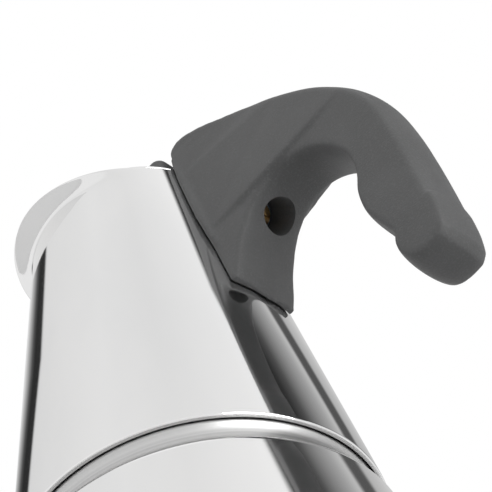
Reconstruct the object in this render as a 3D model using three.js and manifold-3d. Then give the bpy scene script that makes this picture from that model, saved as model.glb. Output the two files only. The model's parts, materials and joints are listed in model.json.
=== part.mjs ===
// Stovetop moka pot, about 170 mm tall, in mm with +Z up and the handle toward +X.
// Water boiler, coffee funnel, gasket and filter, screw-on jug, hinged lid, hooked handle.
import * as THREE from 'three';
import { mergeVertices } from 'three/addons/utils/BufferGeometryUtils.js';
import Module from 'manifold-3d';

const wasm = await Module();
wasm.setup();

// ---- driving dimensions, mm ----
const CUT_GAP = 0.3; // clearance between turned or cut faces
const FACE_GAP = 0.1; // clearance between flat seated faces
const SEG = 36; // sides of a full turn

const BOILER_TOP_Z = 60;
const BOILER_TOP_R = 43.3;
const BOILER_SLOPE = 0.174;
const BOILER_WALL = 1.5;
const BASE_H = 3;
const NECK_H = 12;

const JUG_LIP_Z = 66.8;
const JUG_LIP_R = 42;
const JUG_SLOPE = 0.126;
const JUG_H = 107.4;
const JUG_WALL = 1.1;
const SPOUT_FLARE = 5.6;

const THREAD_PITCH = 3;
const THREAD_H = 0.8;
const NECK_R = 36.9;

const BASKET_DEPTH = 25;
const FLANGE_T = 1;
const GASKET_T = 3;
const FILTER_T = 0.8;
const COLUMN_H = 70;

const HANDLE_HALF = 7.5;
const PIN_R = 1.5;
const PIN_OUT = 1.03;
const PIN_UP = 6.1;
const SCREW_R = 2;
const SCREW_HOLE_R = 4.8;
const SCREW_TILT = (50 * Math.PI) / 180;
const KNUCKLE_HALF = 4.5;
const LUG_R = 3.5;
const SADDLE_H = 61;
const SADDLE_ANGLE = 0.37; // half the angle the handle's base wraps around the jug

// ---- derived ----
const jugR = (z) => JUG_LIP_R - JUG_SLOPE * (z - JUG_LIP_Z);
const boilerR = (z) => BOILER_TOP_R + BOILER_SLOPE * (BOILER_TOP_Z - z);
const RIM_Z = JUG_LIP_Z + JUG_H;
const RIM_R = jugR(RIM_Z);
const LID_R = RIM_R - 0.2;
const PIN_X = RIM_R + PIN_OUT;
const PIN_Z = RIM_Z + PIN_UP;
const SADDLE_TOP = RIM_Z + 3.8;
const SADDLE_LOW = SADDLE_TOP - SADDLE_H;
const NECK_TOP = BOILER_TOP_Z + NECK_H;
const NECK_BORE = NECK_R - BOILER_WALL;
const CREST_R = NECK_R + THREAD_H;
const COLLAR_BORE = CREST_R + CUT_GAP + THREAD_H;
const BASKET_R = NECK_BORE - CUT_GAP - 0.2;
const FLANGE_Z = NECK_TOP + FACE_GAP;
const GASKET_Z = FLANGE_Z + FLANGE_T + FACE_GAP;
const SEAT_R = NECK_R + 0.1;
const FILTER_Z = GASKET_Z + GASKET_T + FACE_GAP;
const COLLAR_TOP = FILTER_Z + FILTER_T + 1.2;
const FLOOR_Z = COLLAR_TOP + FACE_GAP;
const FLOOR_T = 1.2;
const FLOOR_R = jugR(FLOOR_Z + FLOOR_T) - JUG_WALL - CUT_GAP;
const FOOT_Z = FLOOR_Z + FLOOR_T + FACE_GAP;
const COLUMN_TOP = FOOT_Z + COLUMN_H;
const PIN_LENGTH = 2 * HANDLE_HALF - 1.5;

// The handle screw runs down and outward from the jug wall; distances start at the wall.
const SCREW_Z = RIM_Z - 17;
const screwDir = new THREE.Vector3(Math.cos(SCREW_TILT), 0, -Math.sin(SCREW_TILT));
const screwRoot = new THREE.Vector3(jugR(SCREW_Z) + CUT_GAP, 0, SCREW_Z);
const alongScrew = (s) => screwRoot.clone().addScaledVector(screwDir, s);
const HEAD_SEAT = 14.5;

// ---- materials ----
const finish = (color, metalness, roughness) =>
  new THREE.MeshStandardMaterial({ color, metalness, roughness });
const STEEL = [0xd6d6d3, 1, 0.08];
const SATIN = [0xb4b4b0, 1, 0.4];
const BRASS = [0xb58a45, 1, 0.3];
const PLASTIC = [0x55565a, 0, 0.6];
const RUBBER = [0xe6e4dc, 0, 0.7];

const group = new THREE.Group();
group.name = 'moka_pot';

function addPiece(name, geometry, look) {
  const mesh = new THREE.Mesh(geometry, finish(...look));
  mesh.name = name;
  group.add(mesh);
}

// ---- solid helpers ----
const v2 = (pairs) => pairs.map(([x, y]) => new THREE.Vector2(x, y));

// A closed turned ring or solid about Z from [radius, z] pairs.
function turned(pairs, sides = SEG) {
  const onAxis = pairs[0][0] === 0;
  const points = v2(onAxis ? pairs : [...pairs, pairs[0]]);
  const geometry = new THREE.LatheGeometry(points, sides);
  geometry.rotateX(Math.PI / 2);
  return faceOut(geometry);
}

// Merges doubled corners and drops flattened triangles, then turns the skin outward.
function faceOut(geometry) {
  const bare = geometry.clone();
  bare.deleteAttribute('normal');
  bare.deleteAttribute('uv');
  const merged = mergeVertices(bare, 1e-4);
  const index = Array.from(merged.index.array);
  const kept = [];
  for (let i = 0; i < index.length; i += 3) {
    const [a, b, c] = index.slice(i, i + 3);
    if (a !== b && b !== c && a !== c) kept.push(a, b, c);
  }
  merged.setIndex(kept);
  if (signedVolume(merged) < 0) {
    for (let i = 0; i < kept.length; i += 3) {
      [kept[i + 1], kept[i + 2]] = [kept[i + 2], kept[i + 1]];
    }
    merged.setIndex(kept);
  }
  return merged;
}

function signedVolume(geometry) {
  const p = geometry.attributes.position;
  const index = geometry.index.array;
  const a = new THREE.Vector3();
  const b = new THREE.Vector3();
  const c = new THREE.Vector3();
  let sum = 0;
  for (let i = 0; i < index.length; i += 3) {
    a.fromBufferAttribute(p, index[i]);
    b.fromBufferAttribute(p, index[i + 1]);
    c.fromBufferAttribute(p, index[i + 2]);
    sum += a.dot(b.cross(c));
  }
  return sum;
}

function toSolid(geometry) {
  const skin = faceOut(geometry);
  return new wasm.Manifold(new wasm.Mesh({
    numProp: 3,
    vertProperties: Float32Array.from(skin.attributes.position.array),
    triVerts: Uint32Array.from(skin.index.array),
  }));
}

function fromSolid(solid) {
  const mesh = solid.getMesh();
  const geometry = new THREE.BufferGeometry();
  const xyz = new THREE.BufferAttribute(Float32Array.from(mesh.vertProperties), 3);
  geometry.setAttribute('position', xyz);
  geometry.setIndex(Array.from(mesh.triVerts));
  return geometry;
}

const cut = (geometry, ...tools) =>
  fromSolid(tools.reduce((body, tool) => body.subtract(toSolid(tool)), toSolid(geometry)));
const join = (...parts) =>
  fromSolid(parts.map(toSolid).reduce((body, part) => body.add(part)));

// Stacked rings of equal point count joined into one skin; `loop` joins last to first.
function skinned(rings, loop) {
  const count = rings[0].length;
  const xyz = rings.flat().flatMap((p) => [p.x, p.y, p.z]);
  const index = [];
  const spans = loop ? rings.length : rings.length - 1;
  for (let r = 0; r < spans; r += 1) {
    const next = (r + 1) % rings.length;
    for (let i = 0; i < count; i += 1) {
      const j = (i + 1) % count;
      const [a, b, c, d] = [r * count + i, r * count + j, next * count + j, next * count + i];
      index.push(a, b, c, a, c, d);
    }
  }
  if (!loop) capEnds(rings, index);
  const geometry = new THREE.BufferGeometry();
  geometry.setAttribute('position', new THREE.Float32BufferAttribute(xyz, 3));
  geometry.setIndex(index);
  return faceOut(geometry);
}

// Flat ends for a stack whose end rings lie in planes of constant y.
function capEnds(rings, index) {
  const count = rings[0].length;
  [0, rings.length - 1].forEach((r) => {
    const ring = rings[r];
    const flat = ring.map((p) => new THREE.Vector2(p.x, p.z));
    THREE.ShapeUtils.triangulateShape(flat, []).forEach(([a, b, c]) => {
      const [i, j, k] = [a, b, c].map((n) => r * count + n);
      const follows = turnOf([flat[a], flat[b], flat[c]]) === turnOf(flat);
      if (follows === (r > 0)) index.push(i, j, k);
      else index.push(i, k, j);
    });
  });
}

const turnOf = (loop) => Math.sign(THREE.ShapeUtils.area(loop));

// A helical ridge standing out from `root` by `height`, tapering away at both ends.
function threadRidge(root, height, z0, turns, bury) {
  const steps = Math.round(turns * 16);
  const rings = [];
  for (let i = 0; i <= steps; i += 1) {
    const angle = (i / steps) * turns * Math.PI * 2;
    const fade = Math.min(1, i / 5, (steps - i) / 5);
    const z = z0 + (THREAD_PITCH * angle) / (Math.PI * 2);
    const tip = root + height * (0.1 + 0.9 * fade);
    const profile = [[root - bury, -0.9], [root, -0.8], [tip, -0.3],
      [tip, 0.3], [root, 0.8], [root - bury, 0.9]];
    rings.push(profile.map(([r, dz]) =>
      new THREE.Vector3(r * Math.cos(angle), r * Math.sin(angle), z + dz)));
  }
  return ridgeSkin(rings);
}

function ridgeSkin(rings) {
  const count = rings[0].length;
  const xyz = rings.flat().flatMap((p) => [p.x, p.y, p.z]);
  const index = [];
  for (let r = 0; r + 1 < rings.length; r += 1) {
    for (let i = 0; i < count; i += 1) {
      const j = (i + 1) % count;
      const [a, b] = [r * count + i, r * count + j];
      index.push(a, b, b + count, a, b + count, a + count);
    }
  }
  const last = (rings.length - 1) * count;
  for (let i = 1; i + 1 < count; i += 1) {
    index.push(0, i + 1, i, last, last + i, last + i + 1);
  }
  const geometry = new THREE.BufferGeometry();
  geometry.setAttribute('position', new THREE.Float32BufferAttribute(xyz, 3));
  geometry.setIndex(index);
  return geometry;
}

// A round bar of `radius` from `start` along `direction`.
function bar(radius, length, start, direction, sides = 20) {
  const geometry = new THREE.CylinderGeometry(radius, radius, length, sides);
  geometry.translate(0, length / 2, 0);
  return aim(geometry, start, direction);
}

// Turns a piece modelled along +Y to point along `direction` from `start`.
function aim(geometry, start, direction) {
  const axis = direction.clone().normalize();
  const turn = new THREE.Quaternion().setFromUnitVectors(new THREE.Vector3(0, 1, 0), axis);
  geometry.applyQuaternion(turn);
  geometry.translate(start.x, start.y, start.z);
  return geometry;
}

// A turned piece along `direction`: pairs are [radius, distance along the axis].
function spun(pairs, start, direction, sides = 20) {
  const onAxis = pairs[0][0] === 0;
  const points = v2(onAxis ? pairs : [...pairs, pairs[0]]);
  return faceOut(aim(new THREE.LatheGeometry(points, sides), start, direction));
}

function punched(geometry, rings, holeR, z0, z1) {
  const holes = [];
  rings.forEach(([count, radius]) => {
    for (let i = 0; i < count; i += 1) {
      const angle = ((i + 0.5) / count) * Math.PI * 2;
      const start = new THREE.Vector3(radius * Math.cos(angle), radius * Math.sin(angle), z0);
      holes.push(bar(holeR, z1 - z0, start, new THREE.Vector3(0, 0, 1), 6));
    }
  });
  return cut(geometry, ...holes);
}

// ---- boiler ----
const VALVE_Z = 40;
const VALVE_ANGLE = (118 * Math.PI) / 180;
const VALVE_TILT = Math.atan(BOILER_SLOPE);
const VALVE_SHANK_R = 3.7;
const valveDir = new THREE.Vector3(
  Math.cos(VALVE_ANGLE) * Math.cos(VALVE_TILT),
  Math.sin(VALVE_ANGLE) * Math.cos(VALVE_TILT),
  Math.sin(VALVE_TILT),
);
const valveSeat = new THREE.Vector3(
  boilerR(VALVE_Z) * Math.cos(VALVE_ANGLE),
  boilerR(VALVE_Z) * Math.sin(VALVE_ANGLE),
  VALVE_Z,
);
const alongValve = (s) => valveSeat.clone().addScaledVector(valveDir, s);

function boilerShell() {
  const footR = boilerR(BASE_H);
  const inner = (z) => boilerR(z) - BOILER_WALL;
  const top = BOILER_TOP_Z;
  const body = turned([
    [0, BASE_H], [footR - 3.2, BASE_H], [footR - 1, BASE_H + 0.6], [boilerR(BASE_H + 3), BASE_H + 3],
    [boilerR(top - 1.4), top - 1.4], [BOILER_TOP_R - 0.45, top - 0.35],
    [BOILER_TOP_R - 1.2, top], [NECK_R + 0.4, top], [NECK_R, top + 0.4],
    [NECK_R, NECK_TOP - 0.5], [NECK_R - 0.5, NECK_TOP], [NECK_BORE, NECK_TOP],
    [NECK_BORE, top - 2.5], [inner(top - 7), top - 7],
    [inner(BASE_H + 5), BASE_H + 5], [footR - 5, BASE_H + 1.6], [0, BASE_H + 1.6],
  ]);
  const threaded = join(body, threadRidge(NECK_R, THREAD_H, BOILER_TOP_Z + 2.6, 2.2, 0.5));
  return cut(threaded, bar(VALVE_SHANK_R + CUT_GAP, 16, alongValve(-10), valveDir));
}

function basePlate() {
  const r = boilerR(BASE_H) - 4.5;
  return turned([[0, 0], [r - 0.8, 0], [r, 0.8], [r, BASE_H - 0.8],
    [r - 0.8, BASE_H - FACE_GAP], [0, BASE_H - FACE_GAP]]);
}

addPiece('boiler_shell', boilerShell(), STEEL);
addPiece('base_plate', basePlate(), SATIN);

// ---- safety valve, distances measured outward from the boiler wall ----
const SEAL_S = -BOILER_WALL - 0.9;
const NUT_S = SEAL_S - 1.2;

function hexRing(outer, bore, s0, s1) {
  const prism = aim(new THREE.CylinderGeometry(outer, outer, s1 - s0, 6)
    .translate(0, (s1 - s0) / 2, 0), alongValve(s0), valveDir);
  return cut(prism, bar(bore, s1 - s0 + 2, alongValve(s0 - 1), valveDir));
}

function valveBody() {
  const r = VALVE_SHANK_R;
  const turnedBody = spun([[1.3, -7], [r - 0.3, -7], [r, -6.7], [r, 0.5], [4.6, 0.5],
    [4.6, 8], [4, 8.6], [1.4, 8.6], [1.4, 7.4], [2.6, 7.4], [2.6, -5], [1.3, -5]],
  alongValve(0), valveDir);
  const hex = hexRing(6.4, 3, FACE_GAP + 0.3, 4);
  return join(turnedBody, hex);
}

function valveSpring() {
  const turns = 6;
  const [s0, s1] = [-1.6, 6.9];
  const steps = turns * 10;
  const side = new THREE.Vector3(0, 0, 1).cross(valveDir).normalize();
  const lift = valveDir.clone().cross(side);
  const rings = [];
  for (let i = 0; i <= steps; i += 1) {
    const angle = (i / steps) * turns * Math.PI * 2;
    const out = side.clone().multiplyScalar(Math.cos(angle))
      .addScaledVector(lift, Math.sin(angle));
    const centre = alongValve(s0 + ((s1 - s0) * i) / steps);
    rings.push([0, 1, 2, 3, 4].map((n) => {
      const turn = (n / 5) * Math.PI * 2;
      return centre.clone().addScaledVector(out, 1.85 + 0.3 * Math.cos(turn))
        .addScaledVector(valveDir, 0.3 * Math.sin(turn));
    }));
  }
  return faceOut(ridgeSkin(rings));
}

addPiece('valve_body', valveBody(), BRASS);
addPiece('valve_seal', spun([[VALVE_SHANK_R + CUT_GAP, NUT_S], [6.6, NUT_S],
  [6.6, SEAL_S], [VALVE_SHANK_R + CUT_GAP, SEAL_S]],
alongValve(0), valveDir), RUBBER);
addPiece('valve_nut', hexRing(6.2, VALVE_SHANK_R + CUT_GAP, NUT_S - 3, NUT_S - FACE_GAP), BRASS);
addPiece('valve_spring', valveSpring(), STEEL);
addPiece('valve_pin', spun([[0, -4.9], [2.2, -4.9], [2.2, -3.6], [0.9, -3.3], [0.9, 9.6],
  [0.5, 10], [0, 10]], alongValve(0), valveDir, 14), BRASS);

// ---- coffee funnel ----
const SIEVE_Z = FLANGE_Z - BASKET_DEPTH;

function funnelBasket() {
  const wall = 0.8;
  const r = BASKET_R;
  const bottom = SIEVE_Z - 4;
  return turned([
    [NECK_R - 0.4, FLANGE_Z], [NECK_R - 0.4, FLANGE_Z + FLANGE_T], [r - wall, FLANGE_Z + FLANGE_T],
    [r - wall, SIEVE_Z + 1.2], [r - wall - 1.5, SIEVE_Z - FACE_GAP],
    [r - wall - 3, SIEVE_Z - FACE_GAP], [r - wall - 4, bottom + 1.5], [5, bottom - 4],
    [4.2, bottom - 6], [3.6, 9], [4.4, 9], [5, bottom - 6.4], [5.8, bottom - 5],
    [r - 4, bottom + 0.5], [r - 2.2, SIEVE_Z - 1.2], [r, SIEVE_Z + 1], [r, FLANGE_Z],
  ]);
}

function basketSieve() {
  const r = BASKET_R - 0.8 - 1.5 - CUT_GAP;
  const disc = turned([[0, SIEVE_Z], [r, SIEVE_Z], [r, SIEVE_Z + 0.8], [0, SIEVE_Z + 0.8]]);
  return punched(disc, [[6, 8], [12, 17], [16, 26]], 0.9, SIEVE_Z - 1, SIEVE_Z + 2);
}

addPiece('funnel_basket', funnelBasket(), SATIN);
addPiece('basket_sieve', basketSieve(), SATIN);

// ---- gasket and filter under the jug ----
addPiece('gasket', turned([[30, GASKET_Z], [SEAT_R - CUT_GAP - 0.1, GASKET_Z],
  [SEAT_R - CUT_GAP - 0.1, GASKET_Z + GASKET_T], [30, GASKET_Z + GASKET_T]]), RUBBER);

function filterPlate() {
  const r = SEAT_R - CUT_GAP;
  const top = FILTER_Z + FILTER_T;
  const disc = turned([[0, FILTER_Z], [r, FILTER_Z], [r, COLLAR_TOP], [r - 0.9, COLLAR_TOP],
    [r - 0.9, top], [0, top]]);
  return punched(disc, [[6, 8], [12, 17], [16, 26]], 0.9,
    FILTER_Z - 1, top + 1);
}
addPiece('filter_plate', filterPlate(), SATIN);

// ---- jug ----
// Satin ring between the jug's lip and the boiler, hollowed outside and threaded inside.
function threadCollar() {
  const low = BOILER_TOP_Z + FACE_GAP;
  const outer = (z) => jugR(z) - JUG_WALL - CUT_GAP;
  const ring = turned([
    [COLLAR_BORE, low], [BOILER_TOP_R - 1.6, low], [BOILER_TOP_R - 2.1, low + 0.5],
    [BOILER_TOP_R - 2.9, low + 1.8], [BOILER_TOP_R - 3.2, low + 3.3], [40.2, low + 4.8],
    [40.5, JUG_LIP_Z - 0.6], [outer(JUG_LIP_Z), JUG_LIP_Z], [outer(COLLAR_TOP), COLLAR_TOP],
    [SEAT_R, COLLAR_TOP], [SEAT_R, NECK_TOP + 0.6], [COLLAR_BORE, NECK_TOP + 0.6],
  ]);
  const ridge = threadRidge(COLLAR_BORE, -THREAD_H, BOILER_TOP_Z + 2.6 + THREAD_PITCH / 2,
    2.2, -0.5);
  return join(ring, ridge);
}
addPiece('jug_thread_collar', threadCollar(), SATIN);

// How far the rim turns outward at an angle from the handle: nothing near the handle.
function flareAt(angle) {
  const away = Math.abs(Math.atan2(Math.sin(angle), Math.cos(angle)));
  const grow = THREE.MathUtils.smoothstep(away, 0.57, 1.89);
  const ease = THREE.MathUtils.smoothstep(away, 1.89, Math.PI);
  return SPOUT_FLARE * (grow - 0.3 * ease);
}

// The jug's conical wall with a rounded foot lip and a rim that flares into the spout.
function jugShell() {
  const inner = (z) => [jugR(z) - JUG_WALL, z, 0];
  const flare = [[6, 0], [4.6, 0.05], [3.2, 0.2], [1.9, 0.48], [0.9, 0.78], [0.3, 1]];
  const wall = [
    [JUG_LIP_R - 0.55, JUG_LIP_Z - 0.1, 0], [JUG_LIP_R - 0.1, JUG_LIP_Z + 0.15, 0],
    [JUG_LIP_R, JUG_LIP_Z + 0.7, 0], [jugR(RIM_Z - 9), RIM_Z - 9, 0],
    ...flare.map(([d, k]) => [jugR(RIM_Z - d), RIM_Z - d, k]),
    [RIM_R - 0.25, RIM_Z, 1], [RIM_R - 0.8, RIM_Z, 1],
    ...flare.slice().reverse().map(([d, k]) => [jugR(RIM_Z - d) - JUG_WALL, RIM_Z - d, k]),
    inner(RIM_Z - 9), inner(JUG_LIP_Z + 0.7), [JUG_LIP_R - JUG_WALL + 0.1, JUG_LIP_Z, 0],
  ];
  const sides = 50;
  const rings = wall.map(([r, z, k]) => Array.from({ length: sides }, (_, i) => {
    const angle = (i / sides) * Math.PI * 2;
    const reach = r + k * flareAt(angle);
    return new THREE.Vector3(reach * Math.cos(angle), reach * Math.sin(angle), z);
  }));
  const shell = skinned(rings, true);
  return cut(shell, bar(SCREW_R + CUT_GAP, 12, alongScrew(-6), screwDir));
}

function jugFloor() {
  const z = FLOOR_Z;
  return turned([[9, z], [FLOOR_R, z], [FLOOR_R, z + FLOOR_T], [9, z + FLOOR_T]]);
}

// The column narrows upward; two windows near its top let the coffee out.
function riserColumn() {
  const [low, top] = [FOOT_Z, COLUMN_TOP];
  const tube = turned([[8, low], [13, low], [13, low + 1], [9.6, low + 1.2], [8.6, low + 3],
    [6, top], [4.8, top], [7.3, low + 3], [8, low + 1]], 32);
  const window = new THREE.BoxGeometry(5, 20, 8).translate(0, 0, top - 7);
  return cut(tube, window);
}

function columnCap() {
  const top = COLUMN_TOP + FACE_GAP;
  return turned([[0, top - 2], [4.8 - CUT_GAP, top - 2], [4.8 - CUT_GAP, top], [7.4, top],
    [7.4, top + 1], [5.6, top + 2.8], [3, top + 3.8], [0, top + 4.1]], 32);
}

// ---- handle outline in the plane through the pot's axis, [x, z] from the jug's rim ----
const TOP_LINE = [[-2.6, 5.6], [-1.5, 8.4], [2.5, 10.2], [6.8, 9.4], [11.5, 7.7], [16.5, 5.2],
  [21.5, 2.7], [27.1, -0.8], [33.5, -5.3], [42.7, -13.3], [48.7, -20.2], [54, -28.2],
  [57.5, -37.2], [59.1, -48.2], [59.7, -59.2], [59.9, -69.2], [59.9, -77.2], [59.7, -84.2],
  [58.9, -89.2]];
const GRIP_LINE = [[56.9, -91.5], [53.5, -92], [50, -91.6], [47.3, -89.8], [45.7, -86.2],
  [45.4, -82.7], [46.1, -79.2], [44.1, -73.2], [42.4, -67.9], [42.1, -63.6], [42.5, -59.6],
  [43.9, -55.2], [44.3, -50.2], [43.1, -44.7], [40.1, -39.4], [35.9, -35], [30.9, -32.4],
  [25.7, -32.2], [21.6, -33.8], [18.2, -36.1], [15.5, -39.2], [13.1, -43.2], [11.3, -47.2],
  [9.7, -52.2], [7.9, -56.2]];
const HUG_LINE = [[4.5, -55.2], [1.5, -34.2], [-2.5, -6.2], [-2.1, 3.2]];

// Curve through a run of outline points, returned as an even list.
function smoothRun(points, count) {
  const curve = new THREE.SplineCurve(v2(points));
  return curve.getSpacedPoints(count);
}

// The arch widens where it meets the jug.
const halfWidth = (x) =>
  HANDLE_HALF + 3 * (1 - THREE.MathUtils.smoothstep(x - RIM_R, -1.5, 27.5));

// Side outline pulled inward by more and more toward each flat side.
function handleBody() {
  const fromRim = (points) => points.map(([x, z]) => [RIM_R + x, RIM_Z + z]);
  const outer = smoothRun(fromRim(TOP_LINE), 30);
  const inner = smoothRun(fromRim(GRIP_LINE), 44);
  const back = v2(fromRim(HUG_LINE));
  const outline = [...outer, ...inner, ...back];
  const crown = (i) => {
    const t = (i - 8) / 14;
    if (i > outer.length - 3) return 1.4;
    return 1.4 + 1.4 * THREE.MathUtils.smoothstep(t, 0, 1);
  };
  const layers = [-1, -0.9, -0.7, -0.4, 0, 0.4, 0.7, 0.9, 1];
  const rings = layers.map((w) => outline.map((p, i) => {
    const before = outline[(i + outline.length - 1) % outline.length];
    const after = outline[(i + 1) % outline.length];
    const along = after.clone().sub(before).normalize();
    const pull = (crown(i) * (1 - Math.sqrt(1 - 0.96 * w * w))) / 0.8;
    const [x, z] = [p.x + along.y * pull, p.y - along.x * pull];
    return new THREE.Vector3(x, halfWidth(x) * w, z);
  }));
  return skinned(rings, false);
}

// Base that hugs the jug's wall: thin at its long edges, thick behind the arch.
function handleSaddle() {
  const steps = 14;
  const rings = [];
  for (let i = 0; i <= steps; i += 1) {
    const angle = SADDLE_ANGLE * ((2 * i) / steps - 1);
    const inward = 1 - Math.abs(angle / SADDLE_ANGLE) ** 2.2;
    const low = SADDLE_LOW + 40 * (1 - Math.max(0, inward) ** 0.55);
    const levels = [0, 0.03, 0.1, 0.22, 0.36, 0.52, 0.7, 0.9, 1];
    const outer = levels.map((u, n) => {
      const z = low + (SADDLE_TOP - low) * u;
      return [saddleThickness(angle, z) * (n === 0 ? 0.45 : 1), z];
    });
    const profile = [[-2, low], ...outer, [-2, SADDLE_TOP]];
    rings.push(profile.map(([t, z]) => {
      const r = jugR(z) + t;
      return new THREE.Vector3(r * Math.cos(angle), r * Math.sin(angle), z);
    }));
  }
  return faceOut(ridgeSkin(rings));
}

function saddleThickness(angle, z) {
  const swell = 6 * THREE.MathUtils.smoothstep(z, SADDLE_LOW - 1, RIM_Z - 16.2);
  return 1.4 + swell * (1 - Math.abs(angle / SADDLE_ANGLE) ** 1.3);
}

// Room for the jug, its rim and the swinging lid, up to `above` the rim.
function jugRoom(above) {
  const r = (z) => jugR(z) + CUT_GAP;
  return turned([[0, RIM_Z + above], [r(RIM_Z), RIM_Z + above], [r(RIM_Z), RIM_Z],
    [r(RIM_Z - 74), RIM_Z - 74], [0, RIM_Z - 74]], 72);
}

function screwPocket() {
  const mouth = bar(SCREW_HOLE_R, 30, alongScrew(HEAD_SEAT), screwDir, 28);
  const shank = bar(SCREW_R + CUT_GAP, 40, alongScrew(-10), screwDir);
  return [mouth, shank];
}

function handle() {
  const saddle = cut(handleSaddle(), jugRoom(10));
  const whole = join(handleBody(), saddle);
  const slotWidth = 2 * (KNUCKLE_HALF + CUT_GAP);
  const slot = new THREE.BoxGeometry(20, slotWidth, 30)
    .translate(PIN_X + LUG_R + 0.7 - 10, 0, RIM_Z + 0.9 + 15);
  const pinBore = bar(PIN_R + CUT_GAP / 2, PIN_LENGTH + 2 * CUT_GAP,
    new THREE.Vector3(PIN_X, -PIN_LENGTH / 2 - CUT_GAP, PIN_Z), new THREE.Vector3(0, 1, 0));
  return cut(whole, jugRoom(1.6), ...screwPocket(), slot, pinBore);
}

// ---- lid ----
function lid() {
  const z = RIM_Z + FACE_GAP;
  const t = 0.8;
  const dome = (r) => z + t + 6.4 * Math.sqrt(1 - (r / 26.4) ** 2) - 2;
  const arc = [24.4, 21, 16.5, 11, 5.5].map((r) => [r, dome(r)]);
  const under = arc.map(([r, h]) => [r - 0.2, h - t]).reverse();
  return turned([[0, dome(0) - t], ...under, [25.4, z - 2.6], [26.4, z - 2.6],
    [26.6, z], [LID_R - 0.3, z], [LID_R, z + 0.3], [LID_R - 0.3, z + t], [25.6, z + t],
    ...arc, [0, dome(0)]]);
}

// Cross-shaped block on the lid: a knuckle on the hinge pin and two short wings.
function hingeBlock() {
  const knuckle = bar(LUG_R - 0.3, 2 * KNUCKLE_HALF, new THREE.Vector3(PIN_X, -KNUCKLE_HALF, PIN_Z),
    new THREE.Vector3(0, 1, 0), 28);
  const neck = blockBetween(PIN_X - 9, PIN_X - 0.5, KNUCKLE_HALF, 1.6);
  const wings = blockBetween(PIN_X - 11.5, PIN_X - 5.2, 12, 1.2);
  const room = lidRoom();
  const pinBore = bar(PIN_R + CUT_GAP / 2, 40, new THREE.Vector3(PIN_X, -20, PIN_Z),
    new THREE.Vector3(0, 1, 0));
  return cut(join(knuckle, neck, wings), room, pinBore);
}

// A low block with rounded upper edges, from x0 to x1 and `half` to each side.
function blockBetween(x0, x1, half, round) {
  const low = RIM_Z + 0.5;
  const high = PIN_Z + 2.2;
  const steps = [[0, low, 0], [0, high - round, 0], [0.3, high - round * 0.4, 0.3],
    [1, high, 1]];
  const rings = steps.map(([k, z]) => {
    const trim = k * round;
    return roundedRing(x0 + trim, x1 - trim, half - trim, z);
  });
  return ringStack(rings);
}

function roundedRing(x0, x1, half, z) {
  const r = Math.min(2.6, (x1 - x0) / 2 - 0.1, half - 0.1);
  const corners = [[x1 - r, half - r, 0], [x0 + r, half - r, 1], [x0 + r, r - half, 2],
    [x1 - r, r - half, 3]];
  return corners.flatMap(([x, y, quarter]) => [0, 1, 2, 3].map((n) => {
    const angle = ((quarter + n / 3) * Math.PI) / 2;
    return new THREE.Vector3(x + r * Math.cos(angle), y + r * Math.sin(angle), z);
  }));
}

// Convex level rings stacked upward with flat ends.
const ringStack = (rings) => faceOut(ridgeSkin(rings));

// Space under the block taken by the domed lid.
function lidRoom() {
  const z = RIM_Z + FACE_GAP + 0.8 + FACE_GAP;
  const dome = (r) => z + 6.4 * Math.sqrt(1 - (r / 26.4) ** 2) - 2 + 0.1;
  const arc = [25, 24.4, 21, 16.5, 11, 5.5, 0].map((r) => [r, dome(r)]);
  return turned([[0, z - 8], [40, z - 8], [40, z], [25.6, z], ...arc].reverse(), 96);
}

function lidKnob() {
  const z = LID_TOP + FACE_GAP;
  return turned([[0, z + 9], [2.4, z + 9], [2.4, z], [6.5, z], [7, z + 1], [6, z + 3.5], [6.4, z + 6], [8.6, z + 9],
    [9, z + 11.5], [7.6, z + 14], [4, z + 15.4], [0, z + 15.8]], 36);

}

const LID_TOP = RIM_Z + FACE_GAP + 0.8 + 4.4;

// The knob's screw comes up from inside the lid.
function knobScrew() {
  const seat = LID_TOP - 0.8 - CUT_GAP;
  return turned([[0, seat - 2], [3.4, seat - 1.8], [4, seat - 1], [4, seat], [2, seat],
    [2, seat + 9], [0, seat + 9]], 24);
}

const knobHole = () => bar(2.3, 20, new THREE.Vector3(0, 0, LID_TOP - 10),
  new THREE.Vector3(0, 0, 1));

// ---- handle screw, washer and bracket ----
function screwBody() {
  const head = [[0, HEAD_SEAT + 0.6 + 2.4], [1.6, HEAD_SEAT + 2.9], [2.9, HEAD_SEAT + 2.3],
    [3.4, HEAD_SEAT + 1.4], [3.4, HEAD_SEAT + 0.6 + FACE_GAP], [SCREW_R, HEAD_SEAT + 0.6],
    [SCREW_R, -JUG_WALL - 3], [0, -JUG_WALL - 3]];
  const slot = new THREE.BoxGeometry(0.9, 1.1, 9).translate(0, HEAD_SEAT + 3.2, 0);
  return cut(spun(head, alongScrew(0), screwDir, 28), aim(slot, alongScrew(0), screwDir));
}

function screwWasher() {
  const [r0, r1] = [SCREW_R + CUT_GAP, SCREW_HOLE_R - CUT_GAP];
  return spun([[r0, HEAD_SEAT + FACE_GAP], [r1, HEAD_SEAT + FACE_GAP],
    [r1, HEAD_SEAT + 0.6], [r0, HEAD_SEAT + 0.6]], alongScrew(0), screwDir, 28);
}

// Nut inside the jug, its front face shaped to the tilt of the screw.
function screwNut() {
  const nut = aim(new THREE.CylinderGeometry(4, 4, 3.2, 6).translate(0, -JUG_WALL - 4.4, 0),
    alongScrew(0), screwDir);
  const low = RIM_Z - 54;
  const wallRoom = turned([[jugR(low) - JUG_WALL - FACE_GAP, low], [60, low], [60, RIM_Z],
    [jugR(RIM_Z) - JUG_WALL - FACE_GAP, RIM_Z]], 96);
  return cut(nut, wallRoom, bar(SCREW_R + CUT_GAP, 20, alongScrew(-12), screwDir));
}

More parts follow.
